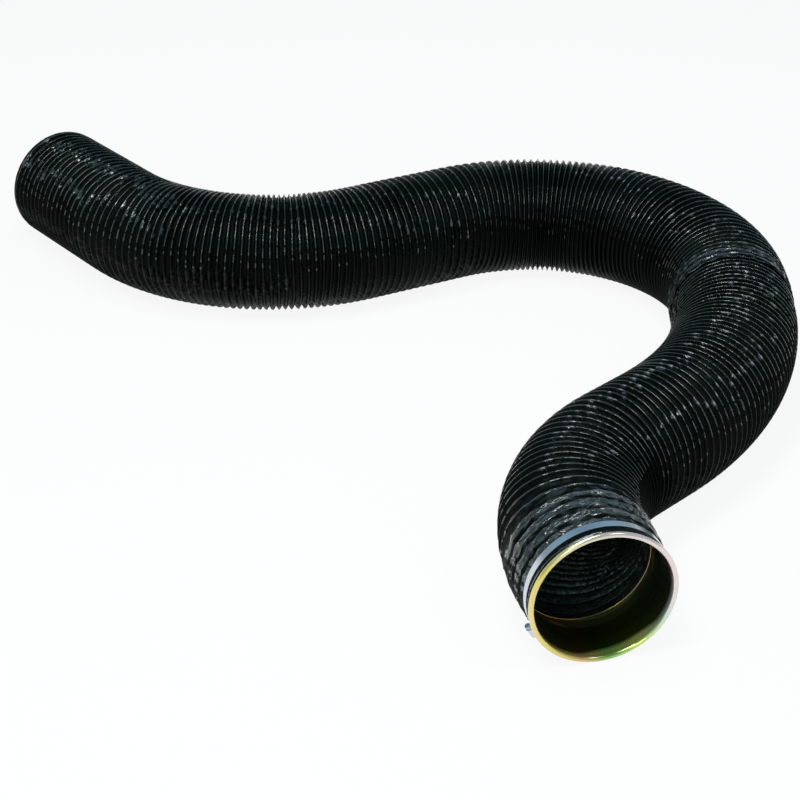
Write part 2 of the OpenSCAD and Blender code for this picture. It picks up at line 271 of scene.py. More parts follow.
def zinc_plate():
    """Bright zinc plate: pale grey, a little soft, with faint spangle."""
    material, tree, shader = new_material("zinc_plate")
    place = add(tree, "ShaderNodeTexCoord").outputs["Object"]
    # Spangle, about 1.7 mm across
    spangle = add(tree, "ShaderNodeTexNoise", inputs={"Vector": place, "Scale": 600, "Detail": 2})
    gloss = add(tree, "ShaderNodeMapRange",
                inputs={"Value": spangle.outputs["Fac"], "To Min": 0.25, "To Max": 0.42})
    tree.links.new(gloss.outputs[0], shader.inputs["Roughness"])
    shader.inputs["Base Color"].default_value = linear(ZINC)
    shader.inputs["Metallic"].default_value = 1
    return material


nodes["clamp_screw"].data.materials.clear()
nodes["clamp_screw"].data.materials.append(zinc_plate())

# Spring wire: hard-drawn steel coiled into one helix for each duct. It springs the film out into ribs and
# lies bare inside their crests. The coil is opened out over the collar and lies close in the bends.
CREST_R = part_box("front_run_film")[1].z
FLOOR_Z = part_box("front_run_film")[0].z
FILM_T = 0.0004
WIRE_R = 0.0008
WIRE_SIDES = 6
WIRE_STEPS = 48
WIRE = "3c4042"
# Lengths in metres and right turns in degrees of the stretches that the duct lies in
CUFF, FRONT_BEND, FRONT_RUN, FRONT_SWEEP = (0.098, 0), (0.290, 59), (0.085, 0), (0.455, -42)
FRONT_TAIL, NECK, MAIN_BEND, REAR_RUN = (0.046, 0), (0.014, 0), (0.700, -121), (0.195, 0)
TAIL_BEND, TAIL_RUN, TAIL_END, HEM = (0.500, 78), (0.105, 0), (0.120, 0), (0.014, 0)
ROUTE = [CUFF, FRONT_BEND, FRONT_RUN, FRONT_SWEEP, FRONT_TAIL, NECK, MAIN_BEND, REAR_RUN,
         TAIL_BEND, TAIL_RUN, TAIL_END, HEM]
ends = np.cumsum([0] + [length for length, turn in ROUTE])
(CUFF_END, FRONT_BEND_END, FRONT_RUN_END, FRONT_SWEEP_END, FRONT_TAIL_END, NECK_END, MAIN_BEND_END,
 REAR_RUN_END, TAIL_BEND_END, TAIL_RUN_END, TAIL_END_END, HEM_END) = ends[1:]
# Where the film starts on the collar, and the loose lip of the rear duct
FILM_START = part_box("cuff_film")[0].y
LIP = FRONT_SWEEP_END + 0.010
BAND_START, BAND_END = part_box("clamp_band")[0].y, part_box("clamp_band")[1].y
# Distance from coil to coil at places along the route
FRONT_PITCH = [(0.040, 0.0230), (0.120, 0.0225), (0.165, 0.0155), (0.200, 0.0135), (0.245, 0.0134),
               (0.290, 0.0152), (0.345, 0.0172), (0.400, 0.0146), (0.500, 0.0135), (0.620, 0.0136),
               (0.710, 0.0150), (0.780, 0.0140), (0.840, 0.0152), (0.980, 0.0150)]
REAR_PITCH = [(0.935, 0.0150), (1.040, 0.0155), (1.130, 0.0168), (1.200, 0.0158), (1.280, 0.0143),
              (1.360, 0.0139), (1.440, 0.0114), (1.510, 0.0108), (1.560, 0.0121), (1.620, 0.0138),
              (1.690, 0.0160), (1.780, 0.0152), (1.850, 0.0140), (1.910, 0.0112), (2.060, 0.0105),
              (2.130, 0.0116), (2.240, 0.0117), (2.320, 0.0137), (2.380, 0.0162), (2.440, 0.0172),
              (2.520, 0.0150), (2.620, 0.0150)]
# How far the turns waver from an even helix, in turns
WAVER = 0.05
# The turns are counted in fine steps, from a little before a duct's start to a little past its end
COUNT_STEPS = 6000
COUNT_SPARE = 0.05
# Radius of the ribs' crests: drawn in under the band, and pressed in where the ducts lap
FRONT_CREST = [(FILM_START, 0.1010), (FILM_START + 0.003, 0.1026), (BAND_START, 0.1029),
               (BAND_END, 0.1029), (BAND_END + 0.006, 0.1039), (0.0600, 0.1052), (0.0850, 0.1064),
               (0.1100, CREST_R), (FRONT_SWEEP_END - 0.040, CREST_R), (LIP - 0.002, 0.1045),
               (LIP + 0.004, 0.1037), (FRONT_TAIL_END, 0.1036)]
REAR_CREST = [(LIP, 0.1064), (LIP + 0.008, CREST_R), (HEM_END, CREST_R)]


def lies_at(s):
    """Places x, y and headings, clockwise from +Y in radians, at stations along the route."""
    x, y, heading = 0.0, 0.0, 0.0
    out = np.zeros((3, *np.shape(s)))
    for (length, turn), start in zip(ROUTE, ends):
        on = s >= start if start > 0 else s == s
        run = s[on] - start
        if turn:
            radius = length / math.radians(turn)
            there = heading + run / radius
            out[:, on] = (x + radius * (math.cos(heading) - np.cos(there)),
                          y + radius * (np.sin(there) - math.sin(heading)), there)
            after = heading + math.radians(turn)
            x += radius * (math.cos(heading) - math.cos(after))
            y += radius * (math.sin(after) - math.sin(heading))
            heading = after
        else:
            out[:, on] = (x + run * math.sin(heading), y + run * math.cos(heading), heading + 0 * run)
            x += length * math.sin(heading)
            y += length * math.cos(heading)
    return out


def in_space(s, angle, r):
    """Points of the duct at a station, an angle up from its right side and a radius."""
    x, y, heading = lies_at(s)
    side, up = r * np.cos(angle), np.maximum(r * np.sin(angle), FLOOR_Z)
    return np.stack([x + side * np.cos(heading), y - side * np.sin(heading), up], axis=-1)


def level(table, s):
    """A size at stations along the route, from a short table."""
    return np.interp(s, [row[0] for row in table], [row[1] for row in table])


def waves(seed, count, along, around):
    """A sum of seeded waves over the duct, mostly within -1 to 1. Wavelengths are in metres."""
    random = np.random.default_rng(seed)
    k = math.tau / random.uniform(*along, count)
    n = np.round(math.tau * CREST_R / random.uniform(*around, count)) * random.choice([-1, 1], count)
    phase = random.uniform(0, math.tau, count)

    def height(s, angle):
        total = sum(np.cos(k[i] * s + n[i] * angle + phase[i]) for i in range(count))
        return total / math.sqrt(count)
    return height


waver = waves(17, 12, (0.060, 0.240), (0.120, 0.500))


class Coil:
    """Counts a duct's turns of wire along the route: a crest lies wherever turns - angle is whole."""

    def __init__(self, pitch, start, end):
        self.s = np.linspace(start - COUNT_SPARE, end + COUNT_SPARE, COUNT_STEPS)
        step = self.s[1] - self.s[0]
        self.turns = np.cumsum(step / level(pitch, self.s))

    def at(self, s, angle=0):
        """Turns counted up to a station."""
        return np.interp(s, self.s, self.turns) + WAVER * waver(s, angle)

    def station(self, turns, angle=0):
        """Station at which so many turns are counted."""
        there = np.interp(turns, self.turns, self.s)
        return np.interp(turns - WAVER * waver(there, angle), self.turns, self.s)


front_coil = Coil(FRONT_PITCH, FILM_START, FRONT_TAIL_END)
rear_coil = Coil(REAR_PITCH, LIP, HEM_END)


def tube_faces(rings, sides):
    """Faces of a closed tube of rings, with its two ends."""
    sides_of = [(i * sides + j, i * sides + (j + 1) % sides,
                 (i + 1) * sides + (j + 1) % sides, (i + 1) * sides + j)
                for i in range(rings - 1) for j in range(sides)]
    last = (rings - 1) * sides
    return sides_of + [tuple(range(sides))[::-1], tuple(range(last, last + sides))]


def wire_points(coil, crest, start, end):
    """Rings of points along one stretch of the helix, under the film's crest."""
    first, last = coil.at(start), coil.at(end)
    steps = int((last - first) * WIRE_STEPS)
    turns = np.linspace(first, last, steps + 1)
    s = coil.station(turns, math.tau * turns)
    coil_r = level(crest, s) - FILM_T - WIRE_R
    points = []
    for j in range(WIRE_SIDES):
        a = math.tau * j / WIRE_SIDES
        points.append(in_space(s + WIRE_R * math.sin(a), math.tau * turns, coil_r + WIRE_R * math.cos(a)))
    return np.stack(points, axis=1).reshape(-1, 3), steps + 1


def drawn_spring_wire():
    """Hard-drawn steel, phosphated before it was drawn: dark grey with a dull sheen and a fine grain."""
    material, tree, shader = new_material("drawn_spring_wire")
    place = add(tree, "ShaderNodeTexCoord").outputs["Object"]
    # Grain, about 1 mm, coarser than the real one so that it shows
    grain = add(tree, "ShaderNodeTexNoise", inputs={"Vector": place, "Scale": 900, "Detail": 2})
    gloss = add(tree, "ShaderNodeMapRange",
                inputs={"Value": grain.outputs["Fac"], "To Min": 0.3, "To Max": 0.5})
    tree.links.new(gloss.outputs[0], shader.inputs["Roughness"])
    shader.inputs["Base Color"].default_value = linear(WIRE)
    shader.inputs["Metallic"].default_value = 1
    return material


def chord(start, end, before, after):
    """Two points on the line between a stretch's ends, at shares of half its length from its middle."""
    a, b = (in_space(np.array(s), np.array(0.0), np.array(0.0)) for s in (start, end))
    middle, half = (a + b) / 2, (b - a) / 2
    return tuple(middle - before * half), tuple(middle + after * half)


def inner_share(stretch):
    """Share of a bend's chord that its inner side spans. Blended over it, nothing moves past the end."""
    length, turn = stretch
    radius = length / math.radians(abs(turn))
    return (radius - CREST_R) / radius


# How far a joint's motion spreads before and after the middle of its stretch, as shares of half its length:
# the further, the softer the line, but next to the lap nothing outside a bend may move
FRONT_BEND_SPREAD = (1, 1.2)
FRONT_SWEEP_SPREAD = (inner_share(FRONT_SWEEP), inner_share(FRONT_SWEEP))
MAIN_BEND_SPREAD = (inner_share(MAIN_BEND), 1)
TAIL_BEND_SPREAD = (1.1, 1.1)
TAIL_END_SPREAD = (1, 1)
# What each stretch moves with: the two bodies of its joint, and where its motion starts and ends
FRONT_BEND_MOVES = ("collar_end", "front_run", *chord(CUFF_END, FRONT_BEND_END, *FRONT_BEND_SPREAD))
FRONT_SWEEP_MOVES = ("front_run", "lap", *chord(FRONT_RUN_END, FRONT_SWEEP_END, *FRONT_SWEEP_SPREAD))
MAIN_BEND_MOVES = ("lap", "rear_run", *chord(NECK_END, MAIN_BEND_END, *MAIN_BEND_SPREAD))
TAIL_BEND_MOVES = ("rear_run", "tail_run", *chord(REAR_RUN_END, TAIL_BEND_END, *TAIL_BEND_SPREAD))
TAIL_END_MOVES = ("tail_run", "tail_end", *chord(TAIL_RUN_END, TAIL_END_END, *TAIL_END_SPREAD))
# The rear run is in two halves, since the bends before and after it both reach into it
REAR_RUN_MIDDLE = (MAIN_BEND_END + REAR_RUN_END) / 2
FRONT_STRETCHES = [
    ("cuff", FILM_START, CUFF_END, FRONT_BEND_MOVES),
    ("front_bend", CUFF_END, FRONT_BEND_END, FRONT_BEND_MOVES),
    ("front_run", FRONT_BEND_END, FRONT_RUN_END, FRONT_BEND_MOVES),
    ("front_sweep", FRONT_RUN_END, FRONT_SWEEP_END, FRONT_SWEEP_MOVES),
    ("front_tail", FRONT_SWEEP_END, FRONT_TAIL_END, FRONT_SWEEP_MOVES),
]
REAR_STRETCHES = [
    ("main_bend", NECK_END, MAIN_BEND_END, MAIN_BEND_MOVES),
    ("rear_run", MAIN_BEND_END, REAR_RUN_MIDDLE, MAIN_BEND_MOVES),
    ("rear_run", REAR_RUN_MIDDLE, REAR_RUN_END, TAIL_BEND_MOVES),
    ("tail_bend", REAR_RUN_END, TAIL_BEND_END, TAIL_BEND_MOVES),
    ("tail_run", TAIL_BEND_END, TAIL_RUN_END, TAIL_BEND_MOVES),
    ("tail_end", TAIL_RUN_END, TAIL_END_END, TAIL_END_MOVES),
]


def numbered(name):
    """A name with the next free number."""
    taken = [piece for piece in bpy.data.objects if piece.name.startswith(name)]
    return f"{name}_{len(taken) + 1}"


wire_finish = drawn_spring_wire()
for coil, crest, stretches in ((front_coil, FRONT_CREST, FRONT_STRETCHES),
                               (rear_coil, REAR_CREST, REAR_STRETCHES)):
    for name, start, end, moves in stretches:
        points, rings = wire_points(coil, crest, start, end)
        faces = tube_faces(rings, WIRE_SIDES)
        wire = new_piece(numbered(name + "_coil"), points, faces, wire_finish, "spring_wire")
        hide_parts(name + "_wire")
        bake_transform(wire)

# Film: thin black coated film bonded to the wire and pleated between its turns. It is creased lengthwise
# from being packed flat, and lies slack and crumpled where it is drawn over the collar and the other duct.
FILM_BLACK = "050906"
# The next black is lighter: the crests' base colour, painted light, and the rubbed patches underneath
FILM_RUBBED_AND_LIT = "121a15"
FILM_WORN = "1e2523"
FILM_DUSTY = "28322a"
# Slack film is greyed where it is creased, partly its creased coating and partly painted sheen of its
# crumples; the pale colour is painted glints on kinked crests, and the coating's shine is cold
CREASE_GREY_AND_SHEEN = "4a5056"
GLINT_PALE = "b8b8c2"
SHINE = "d8f0ec"
# Points round the film, more of them where it is slack
FILM_COLUMNS = 144
CUFF_COLUMNS = 240
# Rows of points in a turn, as shares of the pitch from crest to crest
PLEAT_ROWS = [0, 0.04, 0.07, 0.1, 0.16, 0.28, 0.5, 0.72, 0.84, 0.9, 0.93, 0.96]
CUFF_ROWS = [i / 16 for i in range(16)]
# Depth of the pleats below the crests, in full and along the route
FULL_DEPTH = 0.0074
FRONT_DEPTH = [(FILM_START, 0.0), (BAND_END, 0.0003), (BAND_END + 0.008, 0.0026), (0.0700, 0.0038),
               (0.1200, 0.0050), (0.1700, FULL_DEPTH), (LIP - 0.010, FULL_DEPTH), (LIP, 0.0030),
               (LIP + 0.006, 0.0014), (FRONT_TAIL_END, 0.0014)]
REAR_DEPTH = [(LIP, 0.0003), (LIP + 0.010, 0.0016), (FRONT_TAIL_END, 0.0020), (NECK_END, 0.0044),
              (NECK_END + 0.025, FULL_DEPTH), (TAIL_END_END, FULL_DEPTH), (TAIL_END_END + 0.006, 0.0012),
              (HEM_END, 0.0008)]
# How much deeper and shallower the pleats come out, as a share
UNEVEN_DEPTH = 0.2
# How slack the film lies, from pleated (0) to drawn out and crumpled (1)
FRONT_SLACK = [(FILM_START, 0.1), (BAND_END, 0.2), (BAND_END + 0.006, 1.0), (0.1000, 1.0), (0.1550, 0.0),
               (FRONT_SWEEP_END - 0.010, 0.0), (LIP, 0.3), (FRONT_TAIL_END, 0.3)]
REAR_SLACK = [(LIP, 0.9), (NECK_END - 0.007, 1.0), (NECK_END + 0.015, 0.0), (HEM_END, 0.0)]
# Round of a crest over the wire, how steeply it goes over into its walls, and how soon they level out
CREST_ROUND = 0.0011
CREST_STEEP = math.radians(75)
WALL_REACH = 0.0018
# Half the width of the groove where slack film is tucked in between two coils
GROOVE_W = 0.0026
# Height of the crumples in slack film, and of the lengthwise creases in all of it, with the share of them
# that is left over a crest
CRUMPLE_H = 0.0016
CREASE_H = 0.0002
CREASE_ON_CREST = 0.4
# Folds from being packed flat wander along the duct: their places on the route, their angles in degrees up
# from the right side, and how many degrees they scatter to either side
FRONT_FOLDS = [
    ([(0.17, 112), (0.35, 97), (0.60, 93), (0.68, 100), (0.78, 84), (0.92, 90)], 3),
    ([(0.17, 118), (0.30, 106), (0.45, 101), (0.60, 98)], 2),
    ([(0.19, 80), (0.33, 50), (0.60, 51), (0.70, 48), (0.92, 60)], 2.5),
    ([(0.62, 54), (0.71, 66), (0.75, 88)], 2),
    ([(0.66, 80), (0.80, 74), (0.92, 76)], 2),
    ([(0.17, 210), (0.50, 225), (0.92, 205)], 3),
    ([(0.17, 300), (0.50, 320), (0.92, 310)], 3),
]
REAR_FOLDS = [
    ([(0.98, 94), (1.05, 100), (1.11, 100)], 3),
    ([(0.98, 74), (1.05, 84), (1.12, 90)], 3),
    ([(1.10, 104), (1.15, 117), (1.20, 114), (1.30, 111), (1.45, 100)], 2),
    ([(1.08, 120), (1.13, 132), (1.26, 134), (1.40, 140)], 2),
    ([(1.60, 150), (1.68, 136), (1.78, 110), (1.95, 104), (2.10, 100)], 3),
    ([(1.70, 165), (1.80, 147), (1.97, 124), (2.18, 112), (2.30, 95)], 3),
    ([(2.16, 118), (2.24, 112), (2.32, 95), (2.39, 96), (2.48, 100), (2.62, 107)], 7),
    ([(2.20, 148), (2.24, 140), (2.31, 130), (2.35, 134), (2.62, 136)], 5),
    ([(2.02, 190), (2.18, 188), (2.43, 188), (2.62, 195)], 8),
    ([(1.00, 250), (1.50, 265), (2.00, 240), (2.62, 255)], 3),
    ([(1.00, 330), (1.50, 350), (2.10, 335), (2.62, 340)], 3),
    ([(1.00, 20), (1.50, 35), (2.00, 20), (2.62, 30)], 3),
]
# How many degrees a fold veers, and how many of the crests' points along it are kinked. A kink is a flat on
# either side of the crest, with a slope of its own.
VEER = 5
KINK_SHARE = 0.8
KINK_SLOPES = (0.1, 1.5)
# More turns of wire than either duct has
KINK_TURNS = 400
# How far down the pleat a kink takes the lighter, glossier copy of the finish, along the route: painted
# light on its flats
KINK_LIT_DEPTH = [(1.90, 0.20), (2.15, 0.45), (2.30, 0.52)]
# On the inner side of a bend the pleats close up, and in these steps also a little past its ends
CLOSING_STEPS = (-0.04, -0.02, 0, 0.02, 0.04)
# Closed up between these shares of their pitch, the pleats come to lie smooth
CLOSED = (0.2, 0.32)
# Share of a pleat's depth down to which the film takes the lighter, glossier copy of its finish, painted
# light; deeper, the darker, duller copy is painted shade
LIT_DEPTH = 0.15
# Closed up between these shares, they shade their crests, which get the darker, duller copy of the finish:
# painted shade
SHADE_WHEN_CLOSED = (0.32, 0.38)
# Painted glints: how far kinks are painted pale over the wire, along the route, how much less some of them
# are, and to which share of a pleat's depth
PAINTED_GLINT_SHARE = [(0.90, 1.0), (1.50, 0.8), (1.80, 0.5), (2.10, 0.2)]
FAINTER_GLINTS = 0.6
GLINT_DEPTH = 0.2
# Height below which the film takes a darker, duller copy of its finish, painted shade, along the route, as
# a share of its radius, and how ragged that edge is. Near the collar, whose bead holds the cuff off the
# floor, the edge is low.
UNDERSIDE_SHADE = [(0.10, 0.1), (0.16, 0.35), (LIP - 0.010, 0.35), (LIP, 0.6), (NECK_END, 0.6),
           (NECK_END + 0.030, 0.35)]
UNDERSIDE_SHADE_EDGE = 0.2
# Slack film is pulled tight underneath: the share of its crumples at its sides, and the least below them.
# As slackness also greys the colour, the film is painted lighter on top: partly painted light
SLACK_AT_SIDES = 0.15
SLACK_BELOW = 0.1
# How much of the crumples is lost down in a pleat, and of the packing creases in slack film
LOST_IN_PLEATS = 0.8
LOST_IN_SLACK = 0.8
# Most turns of wire that one piece of film spans
PIECE_TURNS = 24
# How far the flats along packing creases are tilted, and how far those in slack film
FLAT_TILT = 0.5
SLACK_TILT = 0.7
# Sizes and heights of the wrinkles of the coating, fine on the outside and loose on the inside
FINE_WRINKLE = (0.003, 0.0004)
LOOSE_WRINKLE = (0.009, 0.012)

# Crumples, creases, the drift of the pleats' depth and the veering of the folds: for each its seed, how
# many waves it has, and their shortest and longest lengths along and around the duct
crumple = waves(3, 30, (0.011, 0.026), (0.026, 0.090))
crease = waves(5, 26, (0.050, 0.180), (0.011, 0.028))
drift = waves(7, 10, (0.120, 0.400), (0.150, 0.700))
veer = waves(11, 8, (0.050, 0.200), (0.080, 0.200))
kink_random = np.random.default_rng(13)
kink_chance = kink_random.random((KINK_TURNS, FILM_COLUMNS))
kink_slope = kink_random.uniform(*KINK_SLOPES, (KINK_TURNS, FILM_COLUMNS))


def closed(s, angle):
    """How far a bend closes the pleats up on its inner side, as a share of their pitch."""
    bends = np.radians([turn / length for length, turn in ROUTE])
    near = [bends[np.searchsorted(ends[1:-1], s + shift)] for shift in CLOSING_STEPS]
    return CREST_R * np.cos(angle) * np.mean(near, axis=0)


def opened(s, angle):
    """How far the pleats stand open, from 1 on a straight run to 0 where a bend closes them up."""
    return ((CLOSED[1] - closed(s, angle)) / (CLOSED[1] - CLOSED[0])).clip(0, 1)


def shade_when_closed(s, angle):
    """How far closed pleats shade their crests, from 0 to 1: painted shade."""
    return ((closed(s, angle) - SHADE_WHEN_CLOSED[0]) / (SHADE_WHEN_CLOSED[1] - SHADE_WHEN_CLOSED[0])).clip(0, 1)


def kinks(folds, turn, s, angle):
    """Where the crests are kinked, as 0 or 1, and the slopes of the kinks."""
    chance = np.zeros(np.shape(s))
    for i, (line, scatter) in enumerate(folds):
        away = (np.degrees(angle) - level(line, s) - VEER * veer(s, i) + 180) % 360 - 180
        along = (s > line[0][0]) & (s < line[-1][0])
        chance = np.maximum(chance, along * np.exp(-(away / scatter)**2))
    place = turn.astype(int), np.round(angle / math.tau * FILM_COLUMNS).astype(int) % FILM_COLUMNS
    return 1.0 * (kink_chance[place] < KINK_SHARE * chance * opened(s, angle)), kink_slope[place]


def pleat_depth(coil, slack, folds, s, angle):
    """How far down its pleat the film is, from 0 on a crest to 1 at the bottom, and where it is kinked."""
    pitch = np.interp(s, coil.s, 1 / np.gradient(coil.turns, coil.s))
    half = pitch / 2
    turns = coil.at(s, angle) - angle / math.tau
    x = pitch * np.abs((turns + 0.5) % 1 - 0.5)
    edge = CREST_ROUND * math.sin(CREST_STEEP)
    drop = CREST_ROUND * (1 - math.cos(CREST_STEEP)) / FULL_DEPTH
    crest = (CREST_ROUND - np.sqrt(CREST_ROUND**2 - np.minimum(x, edge)**2)) / FULL_DEPTH
    down_wall = 1 - np.exp(-np.maximum(x - edge, 0) / WALL_REACH)
    levelled = down_wall / (1 - np.exp(-(half - edge) / WALL_REACH))
    pleat = crest + (1 - drop) * levelled
    kink, slope = kinks(folds, np.round(turns), s, angle)
    kink *= 1 - level(slack, s)
    flat = np.minimum(pleat, slope * x / FULL_DEPTH)
    pleat += (flat - pleat) * kink * (1 - (x / half)**2)
    groove = np.exp(-((half - x) / GROOVE_W)**2)
    return pleat + (groove - pleat) * level(slack, s), kink


def film_points(coil, crest, depth, slack, folds, s, angle):
    """Points on the film's outside: crests over the wire, pleats between, and creases across both."""
    fall, kink = pleat_depth(coil, slack, folds, s, angle)
    ridges = (1 - 2 * np.abs(crumple(s, angle))).clip(-1)
    ripple = crease(s, angle) * (CREASE_ON_CREST + (1 - CREASE_ON_CREST) * fall) * CREASE_H
    ripple += ridges * (1 - fall) * level(slack, s) * opened(s, angle) * CRUMPLE_H
    r = level(crest, s) - level(depth, s) * fall * (1 + UNEVEN_DEPTH * drift(s, angle)) + ripple
    return in_space(s, angle, r)


def film_mesh(coil, start, end, rows, columns):
    """Stations, angles and faces of a stretch of film, whose rows of points follow the helix."""
    angle = math.tau * np.arange(columns) / columns
    first = math.floor(coil.at(start)) - 1
    last = math.ceil(coil.at(end)) + 1
    turns = np.array([turn + row for turn in range(first, last) for row in rows])
    around = np.broadcast_to(angle, (len(turns), columns))
    s = coil.station(turns[:, None] + angle[None, :] / math.tau, around)
    low = np.sum(s <= start, axis=0) - 1
    high = len(turns) - np.sum(s >= end, axis=0)
    s = np.clip(s, start, end)
    point = np.full(s.shape, -1)
    count = 0
    for j in range(columns):
        kept = np.arange(low[j], high[j] + 1)
        point[kept, j] = count + np.arange(len(kept))
        point[:low[j], j] = point[low[j], j]
        point[high[j] + 1:, j] = point[high[j], j]
        count += len(kept)
    faces = []
    for j in range(columns):
        k = (j + 1) % columns
        shift = len(rows) if k == 0 else 0
        for i in range(len(turns) - 1 - shift):
            corners = (point[i, j], point[i + 1, j], point[i + 1 + shift, k], point[i + shift, k])
            face = tuple(dict.fromkeys(corners))
            if len(face) > 2:
                faces.append(face)
    stations = np.zeros(count)
    angles = np.zeros(count)
    stations[point] = s
    angles[point] = around
    return stations, angles, faces


def black_film(name, dark, rubbed, roughness, specular, coat, wrinkle):
    """Vinyl coated film: near black, with flats and wrinkles that break its gloss into specks, and pale
    painted glints on kinked crests.
    """
    material, tree, shader = new_material(name)
    place = add(tree, "ShaderNodeAttribute", {"attribute_name": "unrolled"}).outputs["Vector"]
    slack = add(tree, "ShaderNodeAttribute", {"attribute_name": "slack"}).outputs["Fac"]
    # Packing creases, some 60 mm apart and 280 mm long, wander along the duct
    wander = add(tree, "ShaderNodeTexNoise", inputs={"Vector": place, "Scale": 22, "Detail": 1})
    bent = add(tree, "ShaderNodeVectorMath", {"operation": "MULTIPLY_ADD"},
               {0: wander.outputs["Color"], 1: (0.03, 0.03, 0.03), 2: place})
    lengthwise = add(tree, "ShaderNodeMapping",
                     inputs={"Vector": bent.outputs[0], "Scale": (16, 16, 3.5)})
    creases = add(tree, "ShaderNodeTexVoronoi", {"feature": "DISTANCE_TO_EDGE"},
                  {"Vector": lengthwise.outputs[0], "Scale": 1})
    crushed = add(tree, "ShaderNodeMapRange", {"interpolation_type": "SMOOTHSTEP"},
                  {"Value": creases.outputs["Distance"], "From Max": 0.2,
                   "To Min": FLAT_TILT, "To Max": 0.1 * FLAT_TILT})
    creased = add(tree, "ShaderNodeAttribute", {"attribute_name": "creased"}).outputs["Fac"]
    amount = add(tree, "ShaderNodeMath", {"operation": "MULTIPLY"}, {0: crushed.outputs[0], 1: creased})
    # Along a crease the film is crushed into flats, about 4 by 17 mm, each tilted its own way, and slack
    # film into flats that lie round the duct
    crushed_slack = add(tree, "ShaderNodeMath", {"operation": "MULTIPLY"}, {0: slack, 1: SLACK_TILT})
    normal = add(tree, "ShaderNodeNewGeometry").outputs["Normal"]
    for scale, share in (((240, 240, 60), amount), ((60, 60, 240), crushed_slack)):
        small = add(tree, "ShaderNodeMapping", inputs={"Vector": bent.outputs[0], "Scale": scale})
        flats = add(tree, "ShaderNodeTexVoronoi", inputs={"Vector": small.outputs[0], "Scale": 1})
        way = add(tree, "ShaderNodeVectorMath", {"operation": "SUBTRACT"},
                  {0: flats.outputs["Color"], 1: (0.5, 0.5, 0.5)})
        tilt = add(tree, "ShaderNodeVectorMath", {"operation": "SCALE"},
                   {0: way.outputs[0], "Scale": share.outputs[0]})
        leaning = add(tree, "ShaderNodeVectorMath", {"operation": "ADD"},
                      {0: tilt.outputs[0], 1: normal})
        normal = leaning.outputs[0]
    tilted = add(tree, "ShaderNodeVectorMath", {"operation": "NORMALIZE"}, {0: normal})
    # Slack film crumples into streaks round the duct, about 4 mm apart and 25 mm long, and is greyed there,
    # partly its creased coating and partly painted sheen of the crumples
    streaked = add(tree, "ShaderNodeMapping", inputs={"Vector": bent.outputs[0], "Scale": (40, 40, 240)})
    streaks = add(tree, "ShaderNodeTexNoise", {"noise_type": "RIDGED_MULTIFRACTAL"},
                  {"Vector": streaked.outputs[0], "Scale": 1, "Detail": 2})
    crumpled = add(tree, "ShaderNodeBump", inputs={"Height": streaks.outputs["Fac"], "Strength": slack,
                                                   "Distance": 0.004, "Normal": tilted.outputs[0]})
    stressed = add(tree, "ShaderNodeTexNoise",
                   inputs={"Vector": streaked.outputs[0], "Scale": 1, "Detail": 3})
    greying_and_sheen = add(tree, "ShaderNodeMapRange",
                  inputs={"Value": stressed.outputs["Fac"], "From Min": 0.5, "From Max": 0.66})
    marked = add(tree, "ShaderNodeMath", {"operation": "MULTIPLY"}, {0: greying_and_sheen.outputs[0], 1: slack})
    # Wrinkles of the coating, 3 mm apart outside and 9 mm inside
    apart, height = wrinkle
    wrinkles = add(tree, "ShaderNodeTexNoise", inputs={"Vector": place, "Scale": 1 / apart, "Detail": 2})
    bump = add(tree, "ShaderNodeBump", inputs={"Height": wrinkles.outputs["Fac"], "Strength": 0.5,
                                               "Distance": height, "Normal": crumpled.outputs[0]})
    tree.links.new(bump.outputs[0], shader.inputs["Normal"])
    tree.links.new(bump.outputs[0], shader.inputs["Coat Normal"])
    # Rubbed patches, about 50 mm, and more of them where the film is slack; that greying is lighter on top,
    # partly painted light
    rubbing = add(tree, "ShaderNodeTexNoise", inputs={"Vector": place, "Scale": 20, "Detail": 3})
    greyed = add(tree, "ShaderNodeMath", {"operation": "MULTIPLY_ADD"},
                 {0: slack, 1: 0.3, 2: rubbing.outputs["Fac"]})
    ground = colour_band(tree, greyed.outputs[0], [(0.4, dark), (0.7, rubbed)])
    colour = add(tree, "ShaderNodeMix", {"data_type": "RGBA"},
                 {"Factor": marked.outputs[0], 6: ground, 7: linear(CREASE_GREY_AND_SHEEN)})
    # Painted glints: where a kink crosses the wire, the colour is painted pale
    through = add(tree, "ShaderNodeAttribute", {"attribute_name": "painted_glint"}).outputs["Fac"]
    glint_share = add(tree, "ShaderNodeMath", {"operation": "POWER"}, {0: through, 1: 1.8})
    colour = add(tree, "ShaderNodeMix", {"data_type": "RGBA"},
                 {"Factor": glint_share.outputs[0], 6: colour.outputs[2], 7: linear(GLINT_PALE)})
    tree.links.new(colour.outputs[2], shader.inputs["Base Color"])
    gloss = add(tree, "ShaderNodeMapRange", inputs={"Value": rubbing.outputs["Fac"],
                                                    "To Min": roughness[0], "To Max": roughness[1]})
    tree.links.new(gloss.outputs[0], shader.inputs["Roughness"])
    shader.inputs["Specular IOR Level"].default_value = specular
    shader.inputs["Specular Tint"].default_value = linear(SHINE)
    shader.inputs["Coat Weight"].default_value = coat
    shader.inputs["Coat Roughness"].default_value = 0.1
    return material


